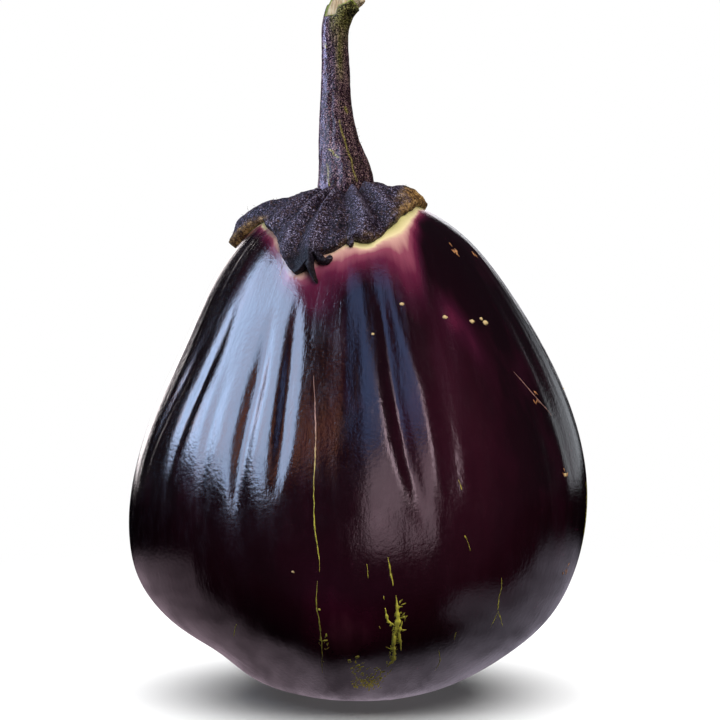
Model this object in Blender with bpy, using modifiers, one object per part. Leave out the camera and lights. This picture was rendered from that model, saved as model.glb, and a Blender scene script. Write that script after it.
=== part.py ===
"""A globe eggplant standing on its base: the ribbed fruit, the lobed calyx on its crown, and the stalk.

Metres, +Z up. The origin is the middle of the small flat spot that the fruit rests on. -Y is the front, where
the calyx's longest lobe hangs, and an azimuth is measured from +X towards +Y.
"""

import math

import bmesh
import bpy
import numpy as np
from mathutils import Vector
from mathutils.bvhtree import BVHTree

# Fruit: half of its outline from the crown down to the flat spot, as (radius, height)
FRUIT_OUTLINE = (
    (0.0000, 0.1385),
    (0.0185, 0.1348),
    (0.0358, 0.1205),
    (0.0494, 0.0980),
    (0.0593, 0.0755),
    (0.0636, 0.0510),
    (0.0608, 0.0355),
    (0.0515, 0.0207),
    (0.0372, 0.0096),
    (0.0247, 0.0029),
    (0.0146, 0.0000),
)
# The fruit's middle line drifts sideways as it rises, as (height, drift towards +X, drift towards +Y)
FRUIT_DRIFT = (
    (0.000, 0.0000, 0.0000),
    (0.020, 0.0001, 0.0002),
    (0.035, -0.0009, 0.0003),
    (0.055, -0.0002, 0.0000),
    (0.080, 0.0010, -0.0003),
    (0.100, 0.0010, -0.0006),
    (0.120, -0.0012, -0.0010),
    (0.139, -0.0025, -0.0015),
)
FRUIT_SEGMENTS = 90
FRUIT_RINGS = 44
SIDE_RINGS = 42  # rings from the crown down to the edge of the flat spot; the others lie in it

# Creases that run down the fruit between its ribs, as (azimuth at the crown, azimuth at the base, depth,
# half-width), the azimuths and half-widths in degrees
CREASES = (
    (-154, -148, 0.0006, 9),
    (-127, -125, 0.0005, 6),
    (-104, -100, 0.0008, 8),
    (-84, -73, 0.0012, 5),
    (-62, -66, 0.0007, 9),
    (-34, -30, 0.0006, 12),
    (-2, -5, 0.0008, 10),
    (34, 37, 0.0009, 11),
    (73, 69, 0.0007, 8),
    (107, 110, 0.0010, 11),
    (141, 138, 0.0006, 9),
    (176, 180, 0.0008, 10),
)
CREASE_FROM = 0.014  # height where the creases have died away near the base
CREASE_FULL = 0.075  # height from which they have their full depth
CREASE_TOP = 0.138  # height at which they have the azimuth that is given for the crown
RELIEF_FROM = 0.010  # radius inside which the crown and the flat spot have no relief
RELIEF_FULL = 0.030  # radius from which they have all of it
# Places where the skin stands out or is drawn in, as (azimuth, height, amount, half-width in degrees, half-height)
LUMPS = (
    (-170, 0.0290, 0.0011, 34, 0.011),
    (-160, 0.0135, -0.0020, 26, 0.005),
    (-150, 0.0040, 0.0012, 40, 0.004),
    (-28, 0.0080, 0.0004, 30, 0.005),
    (-12, 0.1000, -0.0007, 26, 0.016),
    (-8, 0.1270, 0.0009, 40, 0.010),
    (150, 0.0850, 0.0007, 30, 0.025),
    (90, 0.0400, 0.0008, 34, 0.020),
)

# Blossom end: a shallow dimple beside the flat spot, as (x, y, half-width, depth)
BLOSSOM_SCAR = (0.0040, 0.0240, 0.0045, 0.0012)
UNDERSIDE = 0.010  # height below which it is felt

# Calyx: its hole stands round the stalk's foot, and its rim reaches out from there
FOOT = Vector((-0.0040, -0.0020, 0.0))
CALYX_GAP = 0.0004  # clearance from the fruit and the stalk
CALYX_SEGMENTS = 120
CALYX_RINGS = 12
CALYX_THICKNESS = 0.0030  # at the neck, where it is thickest
CALYX_THIN_SIDE = 0.50  # share of that thickness on the thinnest side
CALYX_THICK_AZIMUTH = math.radians(-15)
CALYX_RIM_SHARE = 0.42  # of the neck's thickness at the rim
THINNING = 1.5  # power by which it thins on its way out
# Rim of the calyx, as (azimuth in degrees, horizontal reach from the foot, lift of the rim off the skin)
CALYX_RIM = (
    (-166, 0.0231, 0.0000),
    (-150, 0.0243, 0.0002),
    (-135, 0.0265, 0.0004),
    (-124, 0.0300, 0.0006),
    (-114, 0.0346, 0.0007),
    (-109, 0.0350, 0.0008),
    (-104, 0.0318, 0.0010),
    (-96, 0.0308, 0.0012),
    (-88, 0.0288, 0.0008),
    (-76, 0.0290, 0.0004),
    (-62, 0.0259, 0.0003),
    (-43, 0.0220, 0.0000),
    (-20, 0.0200, 0.0000),
    (2, 0.0203, 0.0003),
    (14, 0.0225, 0.0008),
    (28, 0.0245, 0.0010),
    (44, 0.0225, 0.0005),
    (56, 0.0228, 0.0002),
    (68, 0.0278, 0.0006),
    (78, 0.0316, 0.0012),
    (90, 0.0268, 0.0006),
    (104, 0.0232, 0.0000),
    (116, 0.0272, 0.0008),
    (126, 0.0318, 0.0016),
    (138, 0.0262, 0.0008),
    (148, 0.0252, 0.0004),
    (160, 0.0290, 0.0012),
    (172, 0.0309, 0.0010),
    (184, 0.0266, 0.0006),
)
RIM_LIFT = 3  # power by which the lift grows on the way out
CALYX_PLEATS = 22
PLEAT_HEIGHT = 0.0008
PLEAT_AT_RIM = 0.4  # share of their height that they keep at the rim
PLEAT_WANDER = 0.5  # radians by which the pleats' spacing varies, three times round
# Claws and curls on the calyx's rim, each a line of (azimuth, reach from the foot, height off the skin, radius)
CLAWS = (
    (
        (-107.0, 0.0285, 0.0016, 0.0013),
        (-106.5, 0.0322, 0.0018, 0.0012),
        (-104.0, 0.0346, 0.0012, 0.0009),
        (-101.5, 0.0362, 0.0006, 0.0003),
    ),
    (
        (-105.0, 0.0290, 0.0015, 0.0010),
        (-102.5, 0.0315, 0.0020, 0.0011),
        (-99.0, 0.0326, 0.0018, 0.0011),
        (-96.5, 0.0316, 0.0014, 0.0008),
    ),
    (
        (-87.5, 0.0262, 0.0013, 0.0010),
        (-87.5, 0.0285, 0.0013, 0.0011),
        (-86.5, 0.0300, 0.0011, 0.0007),
    ),
)
CLAW_SEGMENTS = 10
CLAW_RINGS = 8
SWELL_CENTRE = Vector((0.0, 0.0, 0.0850))  # the calyx is raised away from this point inside the fruit

# Stalk: its middle line with its radius there, as (x, y, z, radius)
STALK_LINE = (
    (-0.0040, -0.0020, 0.1392, 0.0078),
    (-0.0041, -0.0019, 0.1420, 0.0076),
    (-0.0047, -0.0015, 0.1460, 0.0069),
    (-0.0057, -0.0009, 0.1506, 0.0059),
    (-0.0064, -0.0003, 0.1560, 0.0050),
    (-0.0067, 0.0003, 0.1615, 0.0044),
    (-0.0067, 0.0008, 0.1700, 0.0039),
    (-0.0069, 0.0011, 0.1780, 0.0037),
    (-0.0068, 0.0011, 0.1835, 0.0038),
    (-0.0058, 0.0008, 0.1872, 0.0040),
    (-0.0038, 0.0004, 0.1907, 0.0043),
    (-0.0012, 0.0001, 0.1938, 0.0047),
)
STALK_SEGMENTS = 30
STALK_RINGS = 36
WOOD_ABOVE = 0.1893  # height from which the torn end shows its wood
WOOD_BESIDE = 0.1862  # the same at the front left, where a strip of bark is torn off
STALK_RIDGES = 5
RIDGE_HEIGHT = 0.06  # of the stalk's radius
RIDGE_TURN = 0.6  # radians by which the ridges are turned
SMALL_RIDGE = 0.4  # height of the ridges between them, as a share
SMALL_RIDGE_TURN = 2.0
RIDGE_FADE = 0.7  # share of their height that the ridges have lost at the top
END_BULGE = 0.28  # how far a tube's end stands out in its middle, as a share of its radius

SKIN = (0.022, 0.006, 0.014)
SKIN_ROUGHNESS = 0.22
CALYX_COLOUR = (0.030, 0.024, 0.034)
CALYX_ROUGHNESS = 0.80
STALK_COLOUR = (0.050, 0.036, 0.042)
STALK_ROUGHNESS = 0.60
WOOD_COLOUR = (0.62, 0.50, 0.33)
WOOD_ROUGHNESS = 0.85


def clear_scene():
    for obj in list(bpy.data.objects):
        bpy.data.objects.remove(obj)


def smooth_curve(knots, values):
    """A curve with no kinks through the values, as a function of the parameter that the knots give."""
    knots = np.array(knots, float)
    values = np.array(values, float).reshape(len(knots), -1)
    step = np.diff(knots)
    system = np.eye(len(knots))
    right = np.zeros_like(values)
    for i in range(1, len(knots) - 1):
        system[i, i - 1 : i + 2] = step[i - 1], 2 * (step[i - 1] + step[i]), step[i]
        after = (values[i + 1] - values[i]) / step[i]
        before = (values[i] - values[i - 1]) / step[i - 1]
        right[i] = 6 * (after - before)
    bend = np.linalg.solve(system, right)

    def at(where):
        i = min(max(int(np.searchsorted(knots, where, side="right")) - 1, 0), len(step) - 1)
        a = (knots[i + 1] - where) / step[i]
        b = (where - knots[i]) / step[i]
        curved = (a**3 - a) * bend[i] + (b**3 - b) * bend[i + 1]
        return a * values[i] + b * values[i + 1] + curved * step[i] ** 2 / 6

    return at


def along(points):
    """The share of the way along a line of points at which each one lies."""
    lengths = np.linalg.norm(np.diff(np.array(points, float), axis=0), axis=1)
    return np.concatenate([[0.0], np.cumsum(lengths)]) / lengths.sum()


def outline_curve():
    """The fruit's outline from the crown, 0, to the flat spot, 1. Its mirror image keeps the crown level."""
    knots = along(FRUIT_OUTLINE)
    mirrored = [(-r, z) for r, z in FRUIT_OUTLINE[:0:-1]]
    return smooth_curve([*(-knots[:0:-1]), *knots], [*mirrored, *FRUIT_OUTLINE])


def round_the_rim(column):
    """One column of CALYX_RIM as a curve over a full turn of azimuth, in degrees."""
    angles = [row[0] + turn for turn in (-360, 0, 360) for row in CALYX_RIM]
    values = [row[column] for row in CALYX_RIM] * 3
    return smooth_curve(angles, values)


def rise(height, low, high):
    """0 below low, 1 above high, and smooth between."""
    t = min(max((height - low) / (high - low), 0.0), 1.0)
    return t * t * (3 - 2 * t)


def turn_between(a, b):
    """The angle from a to b in degrees, between -180 and 180."""
    return (b - a + 180) % 360 - 180


def relief(azimuth, height):
    """How far the skin stands out from the turned outline: less in the creases, more on the lumps."""
    strength = rise(height, CREASE_FROM, CREASE_FULL)
    down = min(1 - height / CREASE_TOP, 1.0)
    out = 0.0
    for top, foot, depth, width in CREASES:
        place = top + turn_between(top, foot) * down
        out -= strength * depth * math.exp(-((turn_between(place, azimuth) / width) ** 2))
    for place, level, amount, width, tall in LUMPS:
        across = turn_between(place, azimuth) / width
        out += amount * math.exp(-(across**2) - ((height - level) / tall) ** 2)
    return out


def blossom_scar(x, y, height):
    """How far the dimple of the blossom end lifts the fruit's underside."""
    centre_x, centre_y, width, depth = BLOSSOM_SCAR
    if not 0 < height < UNDERSIDE:
        return 0.0
    return depth * math.exp(-((x - centre_x) ** 2 + (y - centre_y) ** 2) / width**2)


def material(name, colour, roughness, metallic=0.0):
    made = bpy.data.materials.new(name)
    made.use_nodes = True
    shader = made.node_tree.nodes["Principled BSDF"]
    shader.inputs["Base Color"].default_value = (*colour, 1.0)
    shader.inputs["Roughness"].default_value = roughness
    shader.inputs["Metallic"].default_value = metallic
    made.diffuse_color = (*colour, 1.0)
    return made


def add_object(name, bm, collection, *materials):
    """Makes a smooth-shaded object of the bmesh."""
    mesh = bpy.data.meshes.new(name)
    bm.to_mesh(mesh)
    bm.free()
    for used in materials:
        mesh.materials.append(used)
    mesh.shade_smooth()
    obj = bpy.data.objects.new(name, mesh)
    collection.objects.link(obj)
    return obj


def make_fruit(collection):
    """A sphere whose rings are moved onto the turned outline, then by the relief. The last ones lie flat."""
    outline = outline_curve()
    drift = smooth_curve([row[0] for row in FRUIT_DRIFT], [row[1:] for row in FRUIT_DRIFT])
    bm = bmesh.new()
    bmesh.ops.create_uvsphere(bm, u_segments=FRUIT_SEGMENTS, v_segments=FRUIT_RINGS, radius=1.0)
    for vert in bm.verts:
        ring = round(math.acos(min(max(vert.co.z, -1.0), 1.0)) / math.pi * FRUIT_RINGS)
        turn = math.atan2(vert.co.y, vert.co.x)
        radius, height = outline(min(ring / SIDE_RINGS, 1.0))
        if ring >= SIDE_RINGS:
            radius *= (FRUIT_RINGS - ring) / (FRUIT_RINGS - SIDE_RINGS)
            height = 0.0
        aside, back = drift(height)
        radius = max(radius + relief(math.degrees(turn), height) * rise(radius, RELIEF_FROM, RELIEF_FULL), 0.0)
        x, y = radius * math.cos(turn) + aside, radius * math.sin(turn) + back
        vert.co = (x, y, height + blossom_scar(x, y, height))
    return add_object("fruit", bm, collection, material("eggplant_skin", SKIN, SKIN_ROUGHNESS))


def stalk_section(turn, share):
    """The stalk's radius at a turn round it, as a share of its mean radius. The ridges fade near the end."""
    ridges = math.cos(STALK_RIDGES * turn + RIDGE_TURN)
    ridges += SMALL_RIDGE * math.cos(2 * STALK_RIDGES * turn + SMALL_RIDGE_TURN)
    return 1 + RIDGE_HEIGHT * (1 - RIDGE_FADE * share) * ridges


def foot_reach(turn):
    """How far the stalk's foot reaches at a turn round it."""
    return STALK_LINE[0][3] * stalk_section(turn, 0.0)


def pleats(turn, share):
    """The folds that run out along the calyx, between -1 and 1. They are full from half way to near the rim."""
    wander = PLEAT_WANDER * math.sin(3 * turn + 1)
    strength = rise(share, 0.0, 0.5) * (1 - (1 - PLEAT_AT_RIM) * rise(share, 0.8, 1.0))
    return math.sin(CALYX_PLEATS * turn + wander) * strength


def calyx_fullness(turn):
    """The share of the calyx's greatest thickness that it has at a turn round it."""
    away = (1 - math.cos(turn - CALYX_THICK_AZIMUTH)) / 2
    return 1 + (CALYX_THIN_SIDE - 1) * away


def over_skin(tree, turn, out, off):
    """The point at a turn and a reach from the stalk's foot, that far off the fruit's skin."""
    x, y = FOOT.x + out * math.cos(turn), FOOT.y + out * math.sin(turn)
    skin = tree.ray_cast(Vector((x, y, 1.0)), Vector((0, 0, -1)))[0]
    return skin + (skin - SWELL_CENTRE).normalized() * off


def make_calyx(collection, cutters, fruit):
    """A ring of leathery lobes lying on the crown: an open sheet over the skin, thickened outwards."""
    tree = BVHTree.FromObject(fruit, bpy.context.evaluated_depsgraph_get())
    reach = round_the_rim(1)
    lift = round_the_rim(2)
    bm = bmesh.new()
    bmesh.ops.create_grid(bm, x_segments=CALYX_SEGMENTS, y_segments=CALYX_RINGS, size=1.0)
    thickness_shares = {}
    for vert in bm.verts:
        turn = -vert.co.x * math.pi  # so that the faces look up
        share = (vert.co.y + 1) / 2
        degrees = math.degrees(turn)
        inner = foot_reach(turn) + CALYX_GAP
        out = inner + (reach(degrees)[0] - inner) * share
        fullness = calyx_fullness(turn)
        fold = PLEAT_HEIGHT * (1 + pleats(turn, share)) * share * fullness
        vert.co = over_skin(tree, turn, out, CALYX_GAP + max(lift(degrees)[0], 0.0) * share**RIM_LIFT + fold)
        thickness_shares[vert.index] = fullness * (1 + (CALYX_RIM_SHARE - 1) * share**THINNING)
    calyx = add_object("calyx", bm, collection, material("calyx_leather", CALYX_COLOUR, CALYX_ROUGHNESS))
    group = calyx.vertex_groups.new(name="thickness")
    for index, weight in thickness_shares.items():
        group.add([index], weight, "REPLACE")
    weld = calyx.modifiers.new("seam", "WELD")
    weld.merge_threshold = 0.00001
    shell = calyx.modifiers.new("shell", "SOLIDIFY")
    shell.thickness = CALYX_THICKNESS
    shell.offset = 1.0
    shell.vertex_group = "thickness"
    shell.use_quality_normals = True
    for number, claw in enumerate(CLAWS, 1):
        add = calyx.modifiers.new(f"claw_{number}", "BOOLEAN")
        add.operation = "UNION"
        add.object = make_claw(cutters, tree, f"claw_{number}", claw)
    return calyx


def tube(line_points, segments, rings, section, start=None):
    """A closed tube along a smooth line of (x, y, z, radius). Its first section is square to start, if given."""
    line = smooth_curve(along([row[:3] for row in line_points]), line_points)
    bm = bmesh.new()
    bmesh.ops.create_cone(
        bm, cap_ends=True, cap_tris=True, segments=segments, radius1=1.0, radius2=1.0, depth=2.0
    )
    sides = [edge for edge in bm.edges if abs(edge.verts[0].co.z - edge.verts[1].co.z) > 1.0]
    bmesh.ops.subdivide_edges(bm, edges=sides, cuts=rings - 1, use_grid_fill=True)
    for vert in bm.verts:
        share = (vert.co.z + 1) / 2
        turn = math.atan2(vert.co.y, vert.co.x)
        size = math.hypot(vert.co.x, vert.co.y)
        x, y, z, radius = line(share)
        ahead = Vector(line(min(share + 0.01, 1.0))[:3]) - Vector(line(max(share - 0.01, 0.0))[:3])
        ahead.normalize()
        if start:
            ahead = ahead.lerp(start, 1 - rise(share, 0.0, 0.15)).normalized()
        across = Vector((0, 1, 0)).cross(ahead).normalized()
        deep = ahead.cross(across)
        radius *= section(turn, share) * size
        vert.co = Vector((x, y, z)) + across * radius * math.cos(turn) + deep * radius * math.sin(turn)
        if share > 0.999 and size < 0.5:
            vert.co += ahead * END_BULGE * line(1.0)[3]
    return bm


def make_claw(cutters, tree, name, claw):
    """A horn that is fused to the calyx's rim."""
    line = [
        (*over_skin(tree, math.radians(azimuth), out, off), radius) for azimuth, out, off, radius in claw
    ]
    bm = tube(line, CLAW_SEGMENTS, CLAW_RINGS, lambda turn, share: 1.0)
    horn = add_object(name, bm, cutters)
    horn.hide_render = True
    horn.display_type = "WIRE"
    return horn


def make_stalk(collection):
    """A tube along the stalk's line, with soft ridges, closed by the foot and by the torn end."""
    bm = tube(STALK_LINE, STALK_SEGMENTS, STALK_RINGS, stalk_section, start=Vector((0, 0, 1)))
    stalk = add_object(
        "stalk",
        bm,
        collection,
        material("stalk_bark", STALK_COLOUR, STALK_ROUGHNESS),
        material("torn_wood", WOOD_COLOUR, WOOD_ROUGHNESS),
    )
    for face in stalk.data.polygons:
        torn = face.normal.x < 0 and face.normal.y < -0.4
        if face.center.z > (WOOD_BESIDE if torn else WOOD_ABOVE):
            face.material_index = 1
    return stalk


def main():
    clear_scene()
    collection = bpy.data.collections.new("eggplant")
    cutters = bpy.data.collections.new("cutters")
    for made in (collection, cutters):
        bpy.context.scene.collection.children.link(made)
    fruit = make_fruit(collection)
    bpy.context.view_layer.update()
    make_calyx(collection, cutters, fruit)
    make_stalk(collection)


main()
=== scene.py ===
"""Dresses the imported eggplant: a fine skin, calyx and stalk over the CAD shapes, scars, camera and light.

Metres, +Z up, in the CAD's frame. -Y is the front. An azimuth is measured from +X towards +Y in degrees, and
a place on the fruit's skin is given as (azimuth, height in mm).
"""

import math
import random

import bmesh
import bpy
import numpy as np
from mathutils import Matrix, Quaternion, Vector, noise
from mathutils.bvhtree import BVHTree
from mathutils.kdtree import KDTree


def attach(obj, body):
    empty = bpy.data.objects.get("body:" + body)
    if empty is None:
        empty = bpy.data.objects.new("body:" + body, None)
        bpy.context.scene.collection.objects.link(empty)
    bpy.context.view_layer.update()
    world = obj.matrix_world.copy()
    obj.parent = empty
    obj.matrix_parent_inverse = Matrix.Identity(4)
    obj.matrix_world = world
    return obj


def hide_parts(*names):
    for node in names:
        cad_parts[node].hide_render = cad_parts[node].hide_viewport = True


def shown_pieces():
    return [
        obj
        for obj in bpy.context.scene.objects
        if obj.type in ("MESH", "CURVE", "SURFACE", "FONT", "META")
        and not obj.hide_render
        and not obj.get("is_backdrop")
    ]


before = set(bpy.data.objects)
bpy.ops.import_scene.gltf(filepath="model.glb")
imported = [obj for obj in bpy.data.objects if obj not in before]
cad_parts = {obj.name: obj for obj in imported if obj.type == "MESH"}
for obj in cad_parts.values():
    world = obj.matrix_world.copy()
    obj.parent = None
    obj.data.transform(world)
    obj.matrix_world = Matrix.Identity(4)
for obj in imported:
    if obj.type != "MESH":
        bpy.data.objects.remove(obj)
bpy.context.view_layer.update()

MM = 0.001
WELD = 0.000002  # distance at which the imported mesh's split points are one point
SEED = 7

# Camera: the photo's view, from a little above, a metre away
VIEW_ELEVATION = math.radians(6)
VIEW_DISTANCE = 1
AIM_HEIGHT = 0.0925
SENSOR = 36
PIXEL = 0.000275  # metres a pixel at the fruit's middle
PHOTO_PIXELS = 720

EQUATOR = 0.0636  # the fruit's greatest radius
MIDDLE = 0.055  # and about its height there
TALLER = 1.2  # about how much further round it is over the fruit than along its equator
CROWN = Vector((-0.004, -0.002, 0.1392))  # where the stalk's foot stands

# Narrow ribs and grooves of the skin, each a line of (azimuth, height in mm, half-width in mm, amount in mm).
# A groove's amount is below 0, and both end where it is 0.
FLUTES = (
    ((-82.6, 116, 1.4, 0), (-81.9, 106, 1.6, -0.3), (-81, 93, 1.8, -0.6), (-77.9, 72, 2, -0.7),
     (-76.2, 66, 1.8, -0.45), (-74, 54, 1.7, 0)),
    ((-81.4, 124, 1.8, 0), (-79, 113, 2.2, 0.2), (-76.5, 104, 2.4, 0.34), (-73.2, 92, 2.6, 0.4),
     (-71.6, 77, 2.6, 0.36), (-71.5, 60, 2.4, 0)),
    ((-87.5, 104, 2, 0), (-84.4, 88, 2.2, 0.2), (-82.5, 76, 2.4, 0.26), (-80.4, 66, 2.2, 0.24),
     (-76.5, 50, 2, 0)),
    ((-66, 100, 3, 0), (-66, 88, 3, -0.35), (-66.5, 72, 2.6, -0.4), (-67.5, 56, 2.4, 0)),
    ((-122.4, 111, 1.6, 0), (-121.8, 103, 2.2, -0.55), (-121.6, 91, 2.9, -1.4), (-121.8, 76, 3.1, -1.6),
     (-121.2, 62, 2.6, -1.1), (-120.6, 47, 2, 0)),
    ((-113, 114, 1.4, 0), (-112.2, 104, 1.8, -0.5), (-111.2, 91, 2, -1), (-110.6, 77, 2, -1),
     (-110.8, 62, 1.7, 0)),
    ((-133, 96, 1.5, 0), (-133.5, 88, 1.8, -0.35), (-133.6, 78, 2, -0.5), (-133, 68, 1.8, -0.35),
     (-132, 54, 1.5, 0)),
    ((-140, 112, 1.6, 0), (-142, 98, 2, -0.45), (-144.5, 84, 2.2, -0.7), (-146, 70, 2, -0.5),
     (-146, 54, 1.8, 0)),
    ((-152, 100, 1.6, 0), (-155, 88, 1.8, -0.4), (-158, 76, 2, -0.5), (-160, 60, 1.8, 0)),
    ((-51, 124, 3, 0), (-50.5, 116, 4, -0.6), (-49, 106, 4, -0.3), (-47, 96, 4, 0)),
    ((-34, 122, 2.4, 0), (-33, 108, 3, 0.35), (-31, 90, 3, 0.4), (-28, 66, 3, 0.3), (-26, 46, 2.4, 0)),
    ((22, 118, 2, 0), (24, 100, 2.6, -0.45), (26, 78, 2.8, -0.6), (28, 56, 2.2, 0)),
    ((84, 116, 2, 0), (86, 98, 2.4, -0.5), (88, 76, 2.6, -0.6), (90, 56, 2.2, 0)),
    ((126, 112, 2, 0), (125, 94, 2.6, -0.4), (123, 72, 2.6, -0.55), (122, 50, 2.2, 0)),
)


def turn_between(a, b):
    """The angle from a to b in degrees, between -180 and 180."""
    return (b - a + 180) % 360 - 180


def rise(value, low, high):
    """0 below low, 1 above high, and smooth between."""
    t = np.clip((value - low) / (high - low), 0.0, 1.0)
    return t * t * (3 - 2 * t)


def read(rows, name):
    """The three numbers of that name of each row, as an array."""
    flat = np.empty(len(rows) * 3)
    rows.foreach_get(name, flat)
    return flat.reshape(-1, 3)


def write_points(mesh, points):
    mesh.vertices.foreach_set("co", points.ravel())
    mesh.update()


def write_attribute(mesh, name, values):
    """Stores one number for each point of the mesh, which its material reads by name."""
    made = mesh.attributes.new(name, "FLOAT", "POINT")
    made.data.foreach_set("value", np.asarray(values, float))


def link(obj):
    bpy.context.scene.collection.objects.link(obj)
    return obj


def object_from(bm, name):
    """A new object made of the bmesh, which is freed."""
    mesh = bpy.data.meshes.new(name)
    bm.to_mesh(mesh)
    bm.free()
    return link(bpy.data.objects.new(name, mesh))


def sheet(name, half_width, front, back):
    """A flat rectangle that faces up."""
    bm = bmesh.new()
    corners = ((-half_width, front), (half_width, front), (half_width, back), (-half_width, back))
    bm.faces.new([bm.verts.new((x, y, 0.0)) for x, y in corners])
    return object_from(bm, name)


def dress(obj, slot, material, *nodes):
    """Puts a finished piece on the object's body, in place of CAD nodes where some are named."""
    obj.data.materials.clear()
    obj.data.materials.append(material)
    obj.data.shade_smooth()
    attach(obj, "root")
    if nodes:
        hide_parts(*nodes)


def fine_copy(node, name, levels):
    """A finer copy of a CAD node: its triangles joined to quads, then rounded by subdivision."""
    bm = bmesh.new()
    bm.from_mesh(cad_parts[node].data)
    bmesh.ops.remove_doubles(bm, verts=bm.verts, dist=WELD)
    bmesh.ops.join_triangles(bm, faces=bm.faces, angle_face_threshold=1.0, angle_shape_threshold=1.0)
    obj = object_from(bm, name)
    rounding = obj.modifiers.new("rounding", "SUBSURF")
    rounding.levels = rounding.render_levels = levels
    bpy.context.view_layer.update()
    graph = bpy.context.evaluated_depsgraph_get()
    rounded = bpy.data.meshes.new_from_object(obj.evaluated_get(graph), depsgraph=graph)
    obj.modifiers.clear()
    obj.data = rounded
    return obj


def tree_of(obj):
    bpy.context.view_layer.update()
    return BVHTree.FromObject(obj, bpy.context.evaluated_depsgraph_get())


def noise_at(points, octaves):
    """Smooth noise of about -1 to 1 at each point."""
    return np.array([noise.fractal(Vector(p), 1.0, 2.0, octaves) for p in points])


def roughness_at(points, *rows):
    """The sum of several noises in metres, for rows of (cells a metre, octaves, mm)."""
    return sum(noise_at(points * np.array(cells), octaves) * amount * MM for cells, octaves, amount in rows)


def around_foot(points):
    """Each point's azimuth round the stalk's foot, and its reach from it in metres."""
    across, along = points[:, 0] - CROWN.x, points[:, 1] - CROWN.y
    return np.degrees(np.arctan2(along, across)), np.hypot(across, along)


# Materials


class Nodes:
    """One material's nodes, with short calls for the kinds used here."""

    def __init__(self, name):
        self.material = bpy.data.materials.new(name)
        self.material.use_nodes = True
        self.tree = self.material.node_tree
        self.shader = self.tree.nodes["Principled BSDF"]

    def fill(self, socket, value):
        """Links the socket to another one, or sets it to a plain value."""
        if isinstance(value, bpy.types.NodeSocket):
            self.tree.links.new(value, socket)
        else:
            socket.default_value = value

    def add(self, kind, inputs=None, **settings):
        node = self.tree.nodes.new("ShaderNode" + kind)
        for name, value in settings.items():
            setattr(node, name, value)
        for name, value in (inputs or {}).items():
            self.fill(node.inputs[name], value)
        return node

    def surface(self, **inputs):
        """Sets the shader's own sockets, their names written with underscores."""
        for name, value in inputs.items():
            self.fill(self.shader.inputs[name.replace("_", " ")], value)

    def show(self, shader):
        """Makes another shader the material's surface."""
        self.fill(self.tree.nodes["Material Output"].inputs["Surface"], shader)

    def place(self):
        return self.add("TexCoord").outputs["Object"]

    def attribute(self, name):
        return self.add("Attribute", attribute_name=name).outputs["Fac"]

    def parts(self, vector):
        return self.add("SeparateXYZ", {0: vector}).outputs

    def vector(self, operation, a, b=(0.0, 0.0, 0.0), result="Vector"):
        return self.add("VectorMath", {0: a, 1: b}, operation=operation).outputs[result]

    def noise(self, vector, scale, detail=3.0, roughness=0.6, distortion=0.0):
        values = {"Scale": scale, "Detail": detail, "Roughness": roughness, "Distortion": distortion}
        return self.add("TexNoise", {"Vector": vector, **values}).outputs["Fac"]

    def cells(self, vector, scale):
        return self.add("TexVoronoi", {"Vector": vector, "Scale": scale}).outputs["Distance"]

    def calc(self, operation, a, b=0.0):
        return self.add("Math", {0: a, 1: b}, operation=operation).outputs["Value"]

    def times(self, a, b):
        return self.calc("MULTIPLY", a, b)

    def centred(self, value, amount):
        """How far the value is from a half, times the amount."""
        return self.times(self.calc("SUBTRACT", value, 0.5), amount)

    def between(self, value, low, high, start=0.0, end=1.0):
        """The value's way from low to high, as a number from start to end."""
        inputs = {"Value": value, "From Min": low, "From Max": high, "To Min": start, "To Max": end}
        node = self.add("MapRange", inputs, interpolation_type="SMOOTHSTEP")
        return node.outputs["Result"]

    def ramp(self, value, *stops):
        """Colours along the value, each stop as (value, red, green, blue)."""
        node = self.add("ValToRGB", {"Fac": value})
        band = node.color_ramp.elements
        while len(band) < len(stops):
            band.new(0.5)
        for element, stop in zip(band, stops):
            element.position = stop[0]
        for element, stop in zip(band, stops):
            element.color = (*stop[1:], 1.0)
        return node.outputs["Color"]

    def mix(self, share, a, b):
        """Colour a, turning to colour b as the share goes from 0 to 1."""
        a, b = ((*side, 1.0) if isinstance(side, tuple) else side for side in (a, b))
        return self.add("Mix", {0: share, 6: a, 7: b}, data_type="RGBA").outputs[2]

    def mix_shaders(self, share, a, b):
        return self.add("MixShader", {0: share, 1: a, 2: b}).outputs[0]

    def glow(self, colour, strength):
        return self.add("Emission", {"Color": colour, "Strength": strength}).outputs[0]

    def bump(self, height, distance, strength, normal=None):
        inputs = {"Height": height, "Distance": distance, "Strength": strength}
        if normal:
            inputs["Normal"] = normal
        return self.add("Bump", inputs).outputs["Normal"]


def down_the_skin(nodes, place, stretch):
    """Coordinates in which a pattern runs in streaks down the fruit, as its ribs do."""
    parts = nodes.parts(place)
    level = nodes.add("CombineXYZ", {0: parts["X"], 1: parts["Y"]}).outputs[0]
    around = nodes.vector("MULTIPLY", nodes.vector("NORMALIZE", level), (EQUATOR, EQUATOR, 0))
    radius = nodes.vector("LENGTH", level, result="Value")
    tall = nodes.calc("ARCTAN2", nodes.calc("SUBTRACT", parts["Z"], MIDDLE), radius)
    tall = nodes.times(tall, EQUATOR * TALLER * stretch)
    upright = nodes.add("CombineXYZ", {2: tall}).outputs[0]
    return nodes.vector("ADD", around, upright)


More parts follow.
